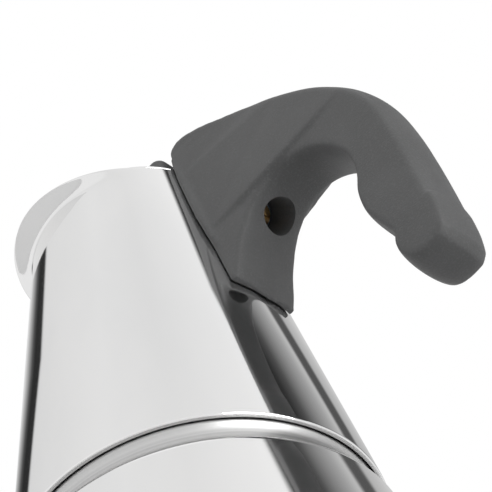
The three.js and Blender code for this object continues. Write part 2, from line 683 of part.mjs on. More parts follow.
addPiece('jug_shell', jugShell(), STEEL);
addPiece('jug_floor', jugFloor(), SATIN);
addPiece('riser_column', riserColumn(), SATIN);
addPiece('column_cap', columnCap(), SATIN);
addPiece('handle', handle(), PLASTIC);
addPiece('handle_washer', screwWasher(), STEEL);
addPiece('handle_screw', screwBody(), BRASS);
addPiece('handle_nut', screwNut(), BRASS);
addPiece('hinge_pin', bar(PIN_R, PIN_LENGTH,
  new THREE.Vector3(PIN_X, -PIN_LENGTH / 2, PIN_Z), new THREE.Vector3(0, 1, 0)), STEEL);
addPiece('lid', cut(lid(), knobHole()), STEEL);
addPiece('lid_hinge_block', hingeBlock(), PLASTIC);
addPiece('lid_knob', lidKnob(), PLASTIC);
addPiece('knob_screw', knobScrew(), STEEL);

export default group;
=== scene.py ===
"""Looks for a stovetop moka pot: polished steel, satin rings, brass and soft-touch grips."""

import math

import bmesh
import bpy
from bpy.props import FloatProperty, IntProperty, PointerProperty
from mathutils import Matrix, Vector
from mathutils.geometry import tessellate_polygon
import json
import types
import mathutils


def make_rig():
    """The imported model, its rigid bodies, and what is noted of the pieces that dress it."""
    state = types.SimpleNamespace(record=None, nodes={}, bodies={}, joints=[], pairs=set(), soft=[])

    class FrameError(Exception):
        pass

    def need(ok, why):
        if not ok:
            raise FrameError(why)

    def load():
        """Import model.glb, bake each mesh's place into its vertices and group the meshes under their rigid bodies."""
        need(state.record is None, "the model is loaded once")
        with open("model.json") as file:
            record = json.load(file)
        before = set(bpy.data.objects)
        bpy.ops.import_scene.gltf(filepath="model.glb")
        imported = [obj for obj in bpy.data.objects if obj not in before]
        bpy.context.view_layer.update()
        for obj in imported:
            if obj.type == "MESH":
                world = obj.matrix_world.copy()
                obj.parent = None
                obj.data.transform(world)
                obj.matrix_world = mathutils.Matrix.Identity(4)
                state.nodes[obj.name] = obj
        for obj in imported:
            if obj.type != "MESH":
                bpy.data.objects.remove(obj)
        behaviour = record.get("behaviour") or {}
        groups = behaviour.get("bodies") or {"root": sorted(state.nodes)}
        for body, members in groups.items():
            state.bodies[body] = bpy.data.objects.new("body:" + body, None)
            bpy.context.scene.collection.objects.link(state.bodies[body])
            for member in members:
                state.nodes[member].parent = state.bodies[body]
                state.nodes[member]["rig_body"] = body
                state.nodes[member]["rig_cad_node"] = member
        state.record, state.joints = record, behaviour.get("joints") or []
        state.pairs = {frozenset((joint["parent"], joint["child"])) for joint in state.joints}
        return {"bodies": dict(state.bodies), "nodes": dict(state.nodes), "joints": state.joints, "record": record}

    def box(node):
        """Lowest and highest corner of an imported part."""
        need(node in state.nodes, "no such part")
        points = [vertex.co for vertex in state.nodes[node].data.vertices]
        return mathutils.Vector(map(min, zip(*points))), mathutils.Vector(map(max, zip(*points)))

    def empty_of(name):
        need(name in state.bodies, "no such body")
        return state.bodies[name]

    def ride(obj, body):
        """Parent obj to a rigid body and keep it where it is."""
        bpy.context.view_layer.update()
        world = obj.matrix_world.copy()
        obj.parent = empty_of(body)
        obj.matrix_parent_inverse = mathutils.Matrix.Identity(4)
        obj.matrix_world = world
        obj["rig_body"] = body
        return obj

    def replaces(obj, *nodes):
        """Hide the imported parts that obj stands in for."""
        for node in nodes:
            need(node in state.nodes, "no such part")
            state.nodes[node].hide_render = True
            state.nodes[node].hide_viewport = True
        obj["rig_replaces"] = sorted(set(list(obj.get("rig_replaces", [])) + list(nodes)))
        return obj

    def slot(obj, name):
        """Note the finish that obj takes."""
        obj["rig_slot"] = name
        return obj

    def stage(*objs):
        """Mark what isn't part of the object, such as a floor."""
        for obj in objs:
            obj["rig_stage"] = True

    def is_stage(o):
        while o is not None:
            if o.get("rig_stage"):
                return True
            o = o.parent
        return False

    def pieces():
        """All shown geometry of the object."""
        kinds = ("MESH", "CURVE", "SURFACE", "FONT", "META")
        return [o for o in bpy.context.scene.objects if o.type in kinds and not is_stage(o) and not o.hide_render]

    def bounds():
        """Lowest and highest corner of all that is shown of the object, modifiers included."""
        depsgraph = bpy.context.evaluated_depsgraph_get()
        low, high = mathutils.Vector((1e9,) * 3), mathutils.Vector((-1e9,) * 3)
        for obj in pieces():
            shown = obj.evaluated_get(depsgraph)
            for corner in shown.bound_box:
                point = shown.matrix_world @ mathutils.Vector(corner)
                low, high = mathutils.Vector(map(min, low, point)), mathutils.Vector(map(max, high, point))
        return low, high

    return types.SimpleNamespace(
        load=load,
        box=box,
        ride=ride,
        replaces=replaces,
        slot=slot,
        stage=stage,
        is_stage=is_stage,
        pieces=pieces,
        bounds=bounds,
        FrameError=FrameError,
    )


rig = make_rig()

bl_info = {
    "name": "Moka Pot Looks",
    "version": (1, 0, 0),
    "blender": (4, 5, 0),
    "location": "View3D > Sidebar > Moka Pot",
    "description": "Builds the moka pot's visible pieces, finishes and studio",
    "category": "Object",
}

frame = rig.load()
SIZE_AT_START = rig.bounds()

MM = 0.001

# ---- pot sizes in mm, the same as the solid model ----
BOILER_TOP_Z = 60
BOILER_TOP_R = 43.3
BOILER_SLOPE = 0.174
BOILER_WALL = 1.5
BASE_H = 3
NECK_R = 36.9
NECK_TOP = 72
LIP_Z = 66.8
LIP_R = 42
JUG_SLOPE = 0.126
RIM_Z = 174.2
WALL = 1.1
FLARE = 5.6
GRIP_HALF = 7.5
PIN_X = 29.5
PIN_Z = 180.3
PIN_R = 1.5
KNUCKLE_HALF = 4.5
LUG_R = 3.5
BASE_ANGLE = 0.37
BASE_LOW = 117
BASE_TOP = 178
SCREW_TILT = math.radians(50)
SCREW_Z = 157.2
HEAD_SEAT = 14.5
POCKET_R = 4.8
LID_T = 0.8
DOME_R = 26.4
DOME_H = 6.4
DOME_SINK = 2  # how far the dome's full height starts below the lid's rim
THREAD_H = 0.8
THREAD_PITCH = 3.0
SCREW_R = 2
CUT_GAP = 0.3
FACE_GAP = 0.1
LID_TOP = RIM_Z + FACE_GAP + LID_T + 4.4
HOLE_R = SCREW_R + CUT_GAP

# ---- the camera, in metres, and its focal length in mm ----
CAMERA_AT = (0.15567, -0.18552, -0.12871)
CAMERA_FORWARD = (-0.34795, 0.53342, 0.77097)
CAMERA_UP = (0.65984, -0.44484, 0.60558)
LENS = 102.44


def jug_r(z):
    return LIP_R - JUG_SLOPE * (z - LIP_Z)


def boiler_r(z):
    return BOILER_TOP_R + BOILER_SLOPE * (BOILER_TOP_Z - z)


def smoothstep(value, low, high):
    t = min(1.0, max(0.0, (value - low) / (high - low)))
    return t * t * (3 - 2 * t)


# ---------------------------------------------------------------- shader maths
class Value:
    """One number or vector socket with arithmetic."""

    def __init__(self, tree, socket):
        self.tree = tree
        self.socket = socket

    def _math(self, operation, *inputs):
        return self.tree.node("ShaderNodeMath", {"operation": operation}, *inputs)

    def __add__(self, other):
        return self._math("ADD", self, other)

    __radd__ = __add__

    def __sub__(self, other):
        return self._math("SUBTRACT", self, other)

    def __rsub__(self, other):
        return self._math("SUBTRACT", other, self)

    def __mul__(self, other):
        return self._math("MULTIPLY", self, other)

    __rmul__ = __mul__

    def __truediv__(self, other):
        return self._math("DIVIDE", self, other)

    def __rtruediv__(self, other):
        return self._math("DIVIDE", other, self)

    def __pow__(self, other):
        return self._math("POWER", self, other)

    def fraction(self):
        return self.tree.node("ShaderNodeMath", {"operation": "FRACT"}, self)

    def above(self, low, high):
        """0 below `low`, 1 above `high`, eased between."""
        settings = {"interpolation_type": "SMOOTHSTEP", "clamp": True}
        return self.tree.node("ShaderNodeMapRange", settings, self, low, high)


class Tree:
    """Adds nodes to one node tree."""

    def __init__(self, node_tree):
        self.nodes = node_tree.nodes
        self.links = node_tree.links
        self.nodes.clear()

    def raw(self, kind, settings, *inputs, **named):
        node = self.nodes.new(kind)
        for key, setting in settings.items():
            setattr(node, key, setting)
        for index, given in enumerate(inputs):
            self._feed(node.inputs[index], given)
        for name, given in named.items():
            self._feed(node.inputs[name.replace("_", " ")], given)
        return node

    def node(self, kind, settings, *inputs, **named):
        made = self.raw(kind, settings, *inputs, **named)
        return Value(self, made.outputs[0])

    def _feed(self, socket, given):
        if isinstance(given, Value):
            self.links.new(given.socket, socket)
        elif given is not None:
            socket.default_value = given

    def output(self, kind, settings, name, *inputs, **named):
        made = self.raw(kind, settings, *inputs, **named)
        return Value(self, made.outputs[name])

    def place(self):
        return self.output("ShaderNodeTexCoord", {}, "Object")

    def noise(self, at, scale, detail=3.0, roughness=0.5):
        return self.output(
            "ShaderNodeTexNoise", {}, "Fac",
            Vector=at, Scale=scale, Detail=detail, Roughness=roughness,
        )

    def stretch(self, at, factors):
        return self.node("ShaderNodeVectorMath", {"operation": "MULTIPLY"}, at, factors)

    def parts(self, at):
        made = self.raw("ShaderNodeSeparateXYZ", {}, at)
        return [Value(self, out) for out in made.outputs]

    def join(self, x, y, z):
        return self.node("ShaderNodeCombineXYZ", {}, x, y, z)

    def blend(self, factor, first, second):
        made = self.nodes.new("ShaderNodeMix")
        made.data_type = "RGBA"
        self._feed(made.inputs["Factor"], factor)
        colours = [s for s in made.inputs if s.type == "RGBA"]
        self._feed(colours[0], first)
        self._feed(colours[1], second)
        return Value(self, [s for s in made.outputs if s.type == "RGBA"][0])

    def bump(self, height, strength, distance):
        return self.node(
            "ShaderNodeBump", {}, Height=height, Strength=strength, Distance=distance
        )

    def surface(self, **named):
        principled = self.raw("ShaderNodeBsdfPrincipled", {}, **named)
        out = self.raw("ShaderNodeOutputMaterial", {})
        self.links.new(principled.outputs[0], out.inputs[0])
        return principled


def grey(level, warm=0.0):
    return (level * (1 + warm), level, level * (1 - warm), 1.0)


def new_material(name, colour, metallic, roughness):
    material = bpy.data.materials.new(name)
    material.use_nodes = True
    material.diffuse_color = colour
    material.metallic = metallic
    material.roughness = roughness
    return material, Tree(material.node_tree)


def turned_lines(tree, at, scale):
    """Fine rings around the pot's axis, as left by turning or polishing."""
    x, y, z = tree.parts(at)
    around = (x * x + y * y) ** 0.5
    return tree.noise(tree.join(around * 4.0, around * 0.6, z), scale, 2.0, 0.65)


def polished_steel():
    material, tree = new_material("polished_steel", grey(0.82), 1.0, 0.06)
    at = tree.place()
    smear = tree.noise(tree.stretch(at, (1.0, 1.0, 0.35)), 38.0, 4.0)
    lines = turned_lines(tree, at, 900.0)
    specks = tree.noise(at, 2600.0, 2.0).above(0.72, 0.78)
    colour = tree.blend(smear.above(0.3, 0.75), grey(0.80), grey(0.84, 0.004))
    rough = 0.035 + smear * 0.03 + lines * 0.015 + specks * 0.05
    tree.surface(
        Base_Color=colour, Metallic=1.0, Roughness=rough,
        Normal=tree.bump(lines * 0.4 + smear, 0.05, 0.00004),
    )
    return material


def satin_steel():
    material, tree = new_material("satin_steel", grey(0.6), 1.0, 0.35)
    at = tree.place()
    lines = turned_lines(tree, at, 1500.0)
    cloud = tree.noise(at, 60.0, 4.0)
    colour = tree.blend(lines.above(0.25, 0.75), grey(0.52), grey(0.68, 0.006))
    tree.surface(
        Base_Color=colour, Metallic=1.0,
        Roughness=0.24 + lines * 0.14 + cloud * 0.06,
        Normal=tree.bump(lines, 0.35, 0.00006),
    )
    return material


def brass():
    material, tree = new_material("brass", (0.6, 0.4, 0.17, 1.0), 1.0, 0.3)
    at = tree.place()
    tarnish = tree.noise(at, 420.0, 5.0, 0.6)
    lines = tree.noise(tree.stretch(at, (1.0, 6.0, 1.0)), 2500.0, 2.0)
    colour = tree.blend(
        tarnish.above(0.35, 0.7), (0.9, 0.64, 0.3, 1.0), (0.6, 0.38, 0.17, 1.0)
    )
    tree.surface(
        Base_Color=colour, Metallic=1.0,
        Roughness=0.24 + tarnish * 0.16,
        Normal=tree.bump(lines, 0.3, 0.00005),
    )
    return material


def silicone():
    material, tree = new_material("silicone", (0.8, 0.79, 0.74, 1.0), 0.0, 0.55)
    at = tree.place()
    cloud = tree.noise(at, 90.0, 4.0)
    dust = tree.noise(at, 1800.0, 2.0)
    colour = tree.blend(cloud, (0.78, 0.77, 0.71, 1.0), (0.86, 0.85, 0.81, 1.0))
    tree.surface(
        Base_Color=colour, Roughness=0.5 + dust * 0.15,
        Subsurface_Weight=0.08, Subsurface_Radius=(0.002, 0.002, 0.0015),
        Normal=tree.bump(dust, 0.3, 0.00008),
    )
    return material


def soft_touch():
    """Dark grey rubbery plastic: fine grain, faint wear and handling marks."""
    material, tree = new_material("soft_touch", grey(0.1), 0.0, 0.6)
    at = tree.place()
    grain = tree.noise(at, 2100.0, 3.0, 0.6)
    fine = tree.noise(at, 5200.0, 2.0, 0.5)
    wear = tree.noise(at, 55.0, 5.0, 0.55)
    marks = tree.noise(tree.stretch(at, (0.4, 1.0, 2.2)), 190.0, 3.0, 0.7)
    base = tree.blend(wear.above(0.35, 0.7), grey(0.064, -0.008), grey(0.076, -0.008))
    colour = tree.blend(grain.above(0.45, 0.8) * 0.5, base, grey(0.115, -0.008))
    tree.surface(
        Base_Color=colour,
        Roughness=0.5 + wear * 0.12 - marks.above(0.6, 0.8) * 0.08,
        Specular_IOR_Level=0.35, Sheen_Weight=0.06, Sheen_Roughness=0.5,
        Normal=tree.bump(grain + fine * 0.5, 0.55, 0.00012),
    )
    return material


MATERIALS = {
    "polished_steel": polished_steel,
    "satin_steel": satin_steel,
    "brass": brass,
    "silicone": silicone,
    "soft_touch": soft_touch,
}
_made = {}


def finish_of(slot):
    if slot not in _made:
        _made[slot] = MATERIALS[slot]()
    return _made[slot]


# ---------------------------------------------------------------- mesh helpers
def mesh_object(name, vertices, faces, sharp=30.0):
    mesh = bpy.data.meshes.new(name)
    mesh.from_pydata([tuple(c * MM for c in v) for v in vertices], [], faces)
    obj = bpy.data.objects.new(name, mesh)
    bpy.context.scene.collection.objects.link(obj)
    tidy_mesh(mesh, sharp)
    return obj


def shade(mesh, sharp):
    """Shades the mesh smooth up to an angle in degrees."""
    mesh.polygons.foreach_set("use_smooth", [True] * len(mesh.polygons))
    mesh.set_sharp_from_angle(angle=math.radians(sharp))


def tidy_mesh(mesh, sharp):
    """Merges doubled points, turns faces outward and shades smooth up to an angle."""
    work = bmesh.new()
    work.from_mesh(mesh)
    bmesh.ops.remove_doubles(work, verts=work.verts, dist=1e-7)
    bmesh.ops.recalc_face_normals(work, faces=work.faces)
    work.to_mesh(mesh)
    work.free()
    shade(mesh, sharp)


def skin(rings, closed, caps):
    """Vertices and faces for stacked rings: `closed` joins the last ring to the first."""
    count = len(rings[0])
    vertices = [p for ring in rings for p in ring]
    faces = []
    spans = len(rings) if closed else len(rings) - 1
    for r in range(spans):
        n = (r + 1) % len(rings)
        for i in range(count):
            j = (i + 1) % count
            faces.append((r * count + i, r * count + j, n * count + j, n * count + i))
    if caps:
        faces.append(tuple(range(count)))
        last = (len(rings) - 1) * count
        faces.append(tuple(last + i for i in reversed(range(count))))
    return vertices, faces


def rounded(profile, radius, steps=4):
    """A closed [r, z] outline with every corner replaced by a small arc."""
    result = []
    count = len(profile)
    for i, point in enumerate(profile):
        here = Vector(point[:2])
        size = point[2] if len(point) > 2 else radius
        back = Vector(profile[i - 1][:2]) - here
        ahead = Vector(profile[(i + 1) % count][:2]) - here
        if here.x < 1e-6 or size <= 0 or min(back.length, ahead.length) < 1e-6:
            result.append(tuple(here))
            continue
        reach = min(size, back.length * 0.45, ahead.length * 0.45)
        start = here + back.normalized() * reach
        end = here + ahead.normalized() * reach
        for k in range(steps + 1):
            t = k / steps
            p = start * (1 - t) ** 2 + here * (2 * t * (1 - t)) + end * t**2
            result.append(tuple(p))
    return result


def turned(name, profile, radius=0.3, sides=160, sharp=32.0):
    """A piece turned about Z from a closed outline of [r, z] points."""
    outline = rounded(profile, radius)
    rings = []
    for i in range(sides):
        angle = 2 * math.pi * i / sides
        rings.append([(r * math.cos(angle), r * math.sin(angle), z) for r, z in outline])
    vertices, faces = skin(rings, True, False)
    return mesh_object(name, vertices, faces, sharp)


def bar(radius, start, end, sides=48):
    """The two end rings of a plain round bar between two points."""
    a, b = Vector(start), Vector(end)
    side = (b - a).orthogonal().normalized()
    lift = (b - a).normalized().cross(side)
    turns = [2 * math.pi * i / sides for i in range(sides)]
    ring = [side * math.cos(t) * radius + lift * math.sin(t) * radius for t in turns]
    return [[tuple(a + p) for p in ring], [tuple(b + p) for p in ring]]


def spun(name, profile, start, direction, radius=0.15, sides=64):
    """A turned piece along any axis: outline of [r, s] with s measured from `start`."""
    axis = Vector(direction).normalized()
    side = Vector((0, 1, 0)).cross(axis)
    side = side.normalized() if side.length > 1e-6 else Vector((1, 0, 0))
    lift = axis.cross(side)
    outline = rounded(profile, radius)
    rings = []
    for i in range(sides):
        t = 2 * math.pi * i / sides
        out = side * math.cos(t) + lift * math.sin(t)
        rings.append([tuple(Vector(start) + axis * s + out * r) for r, s in outline])
    vertices, faces = skin(rings, True, False)
    return mesh_object(name, vertices, faces)


def baked(obj, sharp=35.0):
    """Applies the object's modifiers into its mesh."""
    graph = bpy.context.evaluated_depsgraph_get()
    mesh = bpy.data.meshes.new_from_object(obj.evaluated_get(graph))
    obj.modifiers.clear()
    obj.data = mesh
    shade(mesh, sharp)
    return obj


def carve(obj, *tools, sharp=35.0):
    """Cuts each tool out of the object in turn, then removes it."""
    for tool in tools:
        cutter = obj.modifiers.new("cut", "BOOLEAN")
        cutter.operation = "DIFFERENCE"
        cutter.solver = "MANIFOLD"
        cutter.object = tool
        baked(obj, sharp)
        bpy.data.objects.remove(tool, do_unlink=True)
    return obj


def gathered(obj, *others):
    """Puts the other objects' faces into the first one's mesh."""
    work = bmesh.new()
    for piece in (obj, *others):
        work.from_mesh(piece.data)
    work.to_mesh(obj.data)
    work.free()
    for piece in others:
        bpy.data.objects.remove(piece, do_unlink=True)
    return obj


def melted(obj, voxel, passes):
    """Rebuilds joined shapes as one closed skin and softens where they meet."""
    melt = obj.modifiers.new("melt", "REMESH")
    melt.mode = "VOXEL"
    melt.voxel_size = voxel * MM
    ease = obj.modifiers.new("ease", "SMOOTH")
    ease.factor = 0.5
    ease.iterations = passes
    return baked(obj)


def block(name, low, high):
    """A plain box between two corners, for cutting."""
    xs, ys, zs = zip(low, high)
    bottom = [(xs[0], ys[0], zs[0]), (xs[1], ys[0], zs[0]),
              (xs[1], ys[1], zs[0]), (xs[0], ys[1], zs[0])]
    top = [(x, y, zs[1]) for x, y, _ in bottom]
    vertices, faces = skin([bottom, top], False, True)
    return mesh_object(name, vertices, faces)


def cutter_bar(name, radius, start, end, sides=48):
    """A closed round bar as an object of its own."""
    vertices, faces = skin(bar(radius, start, end, sides), False, True)
    return mesh_object(name, vertices, faces)


def wear(obj, slot, body, *nodes):
    """Gives a piece its finish, its moving body and the solid nodes it stands for."""
    obj.data.materials.clear()
    obj.data.materials.append(finish_of(slot))
    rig.ride(obj, body)
    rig.slot(obj, slot)
    if nodes:
        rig.replaces(obj, *nodes)
    return obj


# ---------------------------------------------------------------- boiler
def make_boiler():
    """The boiler's wall with its neck, the neck's thread and the base plate."""
    foot = boiler_r(BASE_H)
    top = BOILER_TOP_Z

    def inner(z):
        return boiler_r(z) - BOILER_WALL

    shell = turned("boiler_skin", [
        (0, BASE_H), (foot - 3.2, BASE_H), (foot - 0.9, BASE_H + 0.7, 1.2),
        (boiler_r(BASE_H + 3), BASE_H + 3, 1.5), (boiler_r(top - 1.4), top - 1.4, 0.5),
        (BOILER_TOP_R - 0.4, top - 0.35, 0.6), (BOILER_TOP_R - 1.4, top, 0.5),
        (NECK_R, top, 0.4), (NECK_R, NECK_TOP, 0.4), (NECK_R - BOILER_WALL, NECK_TOP, 0.4),
        (NECK_R - BOILER_WALL, top - 2.5), (inner(top - 7), top - 7, 2),
        (inner(BASE_H + 5), BASE_H + 5, 1), (foot - 5, BASE_H + 1.6, 1), (0, BASE_H + 1.6),
    ], 0.3)
    wear(shell, "polished_steel", "boiler", "boiler_shell")
    thread = thread_ridge("boiler_thread", NECK_R, THREAD_H, BOILER_TOP_Z + 2.6, 1)
    wear(thread, "polished_steel", "boiler", "boiler_shell")
    r = boiler_r(BASE_H) - 4.5
    plate = turned("base_plate_skin", [
        (0, 0), (r, 0, 0.8), (r, BASE_H - 0.1, 0.8), (0, BASE_H - 0.1)], 0.5)
    wear(plate, "satin_steel", "boiler", "base_plate")


def thread_ridge(name, root, height, low, side, turns=2.2):
    """A rounded helical ridge that fades out at both ends."""
    steps = int(turns * 96)
    rings = []
    for i in range(steps + 1):
        angle = 2 * math.pi * turns * i / steps
        fade = min(1.0, i / 18, (steps - i) / 18)
        tip = root + side * height * (0.1 + 0.9 * fade)
        z = low + THREAD_PITCH * turns * i / steps
        outline = [(root - side * 0.4, -0.9), (root, -0.8), (tip, -0.3), (tip, 0.3),
                   (root, 0.8), (root - side * 0.4, 0.9)]
        rings.append([(r * math.cos(angle), r * math.sin(angle), z + dz) for r, dz in outline])
    vertices, faces = skin(rings, False, True)
    return mesh_object(name, vertices, faces, 40)


# ---------------------------------------------------------------- jug
def flare_at(angle):
    """How far the rim turns outward at an angle from the handle."""
    away = abs(math.atan2(math.sin(angle), math.cos(angle)))
    grow = smoothstep(away, 0.57, 1.89)
    ease = smoothstep(away, 1.89, math.pi)
    return FLARE * (grow - 0.3 * ease)


def jug_outline():
    """The jug wall as (r, z, share of the flare), outside upward then inside downward."""
    outside = [(LIP_R - 0.55, LIP_Z - 0.1, 0), (LIP_R - 0.2, LIP_Z, 0),
               (LIP_R - 0.02, LIP_Z + 0.25, 0), (LIP_R, LIP_Z + 0.7, 0)]
    outside += [(jug_r(z), z, 0) for z in (RIM_Z - 60, RIM_Z - 20, RIM_Z - 9)]
    lift = [(5.2, 0.0), (4.6, 0.012), (4.1, 0.05), (3.6, 0.12), (3.1, 0.22), (2.5, 0.36),
            (1.9, 0.52), (1.3, 0.68), (0.8, 0.82), (0.35, 0.94)]
    outside += [(jug_r(RIM_Z - d), RIM_Z - d, k) for d, k in lift]
    rim = jug_r(RIM_Z)
    over = [(rim - 0.08, RIM_Z - 0.1, 1.0), (rim - 0.35, RIM_Z + 0.05, 1.0),
            (rim - 0.75, RIM_Z, 0.99)]
    inside = [(jug_r(RIM_Z - d) - WALL, RIM_Z - d, k) for d, k in reversed(lift)]
    inside += [(jug_r(z) - WALL, z, 0) for z in (RIM_Z - 9, RIM_Z - 60, LIP_Z + 0.7)]
    return outside + over + inside + [(LIP_R - WALL + 0.15, LIP_Z, 0)]


def make_jug():
    """The jug's wall, its rim flared toward the spout."""
    sides = bpy.context.scene.moka.jug_sides
    outline = jug_outline()
    rings = []
    for i in range(sides):
        angle = 2 * math.pi * i / sides
        lift = flare_at(angle)
        rings.append([((r + k * lift) * math.cos(angle), (r + k * lift) * math.sin(angle), z)
                      for r, z, k in outline])
    vertices, faces = skin(rings, True, False)
    shell = mesh_object("jug_skin", vertices, faces, 38)
    hole = cutter_bar("hole", HOLE_R, along_screw(-6), along_screw(6))
    carve(shell, hole, sharp=38)
    wear(shell, "polished_steel", "jug", "jug_shell")


def make_collar():
    """The satin ring under the jug and the thread inside it."""
    low = BOILER_TOP_Z + FACE_GAP
    bore = NECK_R + THREAD_H + CUT_GAP + THREAD_H
    seat = NECK_R + 0.9

    def outer(z):
        return jug_r(z) - WALL - CUT_GAP

    collar_top = frame_top("jug_thread_collar")
    ring = turned("collar_skin", [
        (bore, low), (BOILER_TOP_R - 1.6, low, 0.2), (BOILER_TOP_R - 2.1, low + 0.5, 0.4),
        (BOILER_TOP_R - 2.9, low + 1.8, 1.0), (BOILER_TOP_R - 3.2, low + 3.3, 1.0),
        (40.2, low + 4.8, 0.8), (40.5, LIP_Z - 0.6, 0.5), (outer(LIP_Z), LIP_Z, 0.1),
        (outer(collar_top), collar_top, 0.3), (seat, collar_top, 0.3),
        (seat, NECK_TOP + 0.6, 0.1), (bore, NECK_TOP + 0.6, 0.1),
    ], 0.2)
    wear(ring, "satin_steel", "jug", "jug_thread_collar")
    thread = thread_ridge("collar_thread", bore, THREAD_H, BOILER_TOP_Z + 4.1, -1)
    wear(thread, "satin_steel", "jug", "jug_thread_collar")


def frame_top(node):
    """The highest z of a solid node, in mm."""
    _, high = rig.box(node)
    return high[2] / MM


# ---------------------------------------------------------------- handle
# Side outline as (x, z): the outer face, the finger side, then the side toward the jug.
TOP_LINE = [(25.9, 179.8), (27, 182.6), (31, 184.4), (35.3, 183.6), (40, 181.9), (45, 179.4),
            (50, 176.9), (55.6, 173.4), (62, 168.9), (71.2, 160.9), (77.2, 154), (82.5, 146),
            (86, 137), (87.6, 126), (88.2, 115), (88.4, 105), (88.4, 97), (88.2, 90),
            (87.4, 85)]
GRIP_LINE = [(85.4, 82.7), (82, 82.2), (78.5, 82.6), (75.8, 84.4), (74.2, 88), (73.9, 91.5),
             (74.6, 95), (72.6, 101), (70.9, 106.3), (70.6, 110.6), (71, 114.6), (72.4, 119),
             (72.8, 124), (71.6, 129.5), (68.6, 134.8), (64.4, 139.2), (59.4, 141.8),
             (54.2, 142), (50.1, 140.4), (46.7, 138.1), (44, 135), (41.6, 131), (39.8, 127),
             (38.2, 122), (36.4, 118)]
HUG_LINE = [(33, 119), (30, 140), (26, 168), (26.4, 177.4)]


def smooth_run(points, count):
    """An even list of points along a smooth curve through `points`."""
    ends = [points[0]] + list(points) + [points[-1]]
    dense = []
    for i in range(1, len(ends) - 2):
        a, b, c, d = (Vector(p) for p in ends[i - 1:i + 3])
        for k in range(24):
            t = k / 24
            dense.append(0.5 * (2 * b + (c - a) * t + (2 * a - 5 * b + 4 * c - d) * t**2
                                + (3 * b - a - 3 * c + d) * t**3))
    dense.append(Vector(points[-1]))
    lengths = [0.0]
    for p, q in zip(dense, dense[1:]):
        lengths.append(lengths[-1] + (q - p).length)
    result = []
    at = 0
    for n in range(count + 1):
        goal = lengths[-1] * n / count
        while at < len(lengths) - 2 and lengths[at + 1] < goal:
            at += 1
        span = max(1e-9, lengths[at + 1] - lengths[at])
        result.append(dense[at].lerp(dense[at + 1], min(1.0, (goal - lengths[at]) / span)))
    return result


def half_width(x):
    """Half the handle's width, which grows toward the jug."""
    return GRIP_HALF + 3 * (1 - smoothstep(x, 27, 56))


def handle_body():
    """The hook: its side outline pulled in toward each flat side, more on the outer face."""
    outer = smooth_run(TOP_LINE, 120)
    inner = smooth_run(GRIP_LINE, 170)
    outline = outer + inner + [Vector(p) for p in HUG_LINE]
    count = len(outline)

    def crown(i):
        if i > len(outer) - 12:
            return 1.4
        return 1.4 + 1.4 * smoothstep(i, 32, 88)

    normals = []
    for i in range(count):
        along = (outline[(i + 1) % count] - outline[i - 1]).normalized()
        normals.append(Vector((along.y, -along.x)))
    pulls = [crown(i) for i in range(count)]
    layers = [math.sin(math.pi / 2 * (n / 12)) for n in range(-12, 13)]
    rings = []
    for w in layers:
        sink = (1 - math.sqrt(1 - 0.96 * w * w)) / 0.8
        ring = []
        for p, n, pull in zip(outline, normals, pulls):
            q = p + n * pull * sink
            ring.append((q.x, half_width(q.x) * w, q.y))
        rings.append(ring)
    vertices, faces = skin(rings, False, False)
    flat = [Vector((x, z, 0)) for x, _, z in rings[-1]]
    for first in (0, len(vertices) - count):
        faces += [tuple(first + i for i in face) for face in tessellate_polygon([flat])]
    return mesh_object("handle_body", vertices, faces)


def base_thickness(angle, z):
    """The base's thickness: thin at its long edges, thick behind the arch."""
    swell = 6 * smoothstep(z, BASE_LOW - 1, 158)
    return 1.4 + swell * (1 - abs(angle / BASE_ANGLE) ** 1.3)


def handle_base():
    """The part that hugs the jug's wall."""
    steps = 56
    rings = []
    for i in range(steps + 1):
        angle = BASE_ANGLE * (2 * i / steps - 1)
        inward = 1 - abs(angle / BASE_ANGLE) ** 2.2
        low = BASE_LOW + 40 * (1 - max(0.0, inward) ** 0.55)
        levels = [0.0, 0.012] + [n / 24 for n in range(1, 25)]
        outline = [(-2, low)]
        for n, u in enumerate(levels):
            z = low + (BASE_TOP - low) * u
            outline.append((base_thickness(angle, z) * (0.45 if n == 0 else 1), z))
        outline.append((-2, BASE_TOP))
        rings.append([((jug_r(z) + t) * math.cos(angle), (jug_r(z) + t) * math.sin(angle), z)
                      for t, z in outline])
    vertices, faces = skin(rings, False, True)
    return mesh_object("handle_base", vertices, faces)


def jug_room(above):
    """Room for the jug under the handle, up to `above` the rim."""
    rim = jug_r(RIM_Z) + CUT_GAP
    return turned("room", [(0, RIM_Z + above), (rim, RIM_Z + above, 0), (rim, RIM_Z, 0),
                           (jug_r(100) + CUT_GAP, 100, 0), (0, 100)], 0, 240)


def along_screw(s):
    """The point `s` mm from the jug's wall along the handle screw."""
    root = Vector((jug_r(SCREW_Z) + CUT_GAP, 0, SCREW_Z))
    return root + Vector((math.cos(SCREW_TILT), 0, -math.sin(SCREW_TILT))) * s


def make_handle():
    """The hook and its base in one skin, cut for the jug, the screw and the hinge."""
    base = carve(handle_base(), jug_room(10))
    body = gathered(handle_body(), base)
    melted(body, 0.45, 14)
    width = KNUCKLE_HALF + CUT_GAP
    slot_end = PIN_X + LUG_R + 0.7
    slot = block("slot", (slot_end - 20, -width, RIM_Z + 0.9), (slot_end, width, RIM_Z + 31))
    pocket = cutter_bar("pocket", POCKET_R, along_screw(HEAD_SEAT), along_screw(HEAD_SEAT + 30), 96)
    shank = cutter_bar("shank", HOLE_R, along_screw(-10), along_screw(30))
    reach = GRIP_HALF - 0.45
    pin = cutter_bar("pin", PIN_R + CUT_GAP / 2, (PIN_X, -reach, PIN_Z), (PIN_X, reach, PIN_Z))
    carve(body, jug_room(1.6), pocket, shank, slot, pin, sharp=40)
    body.name = "handle_skin"
    wear(body, "soft_touch", "jug", "handle")


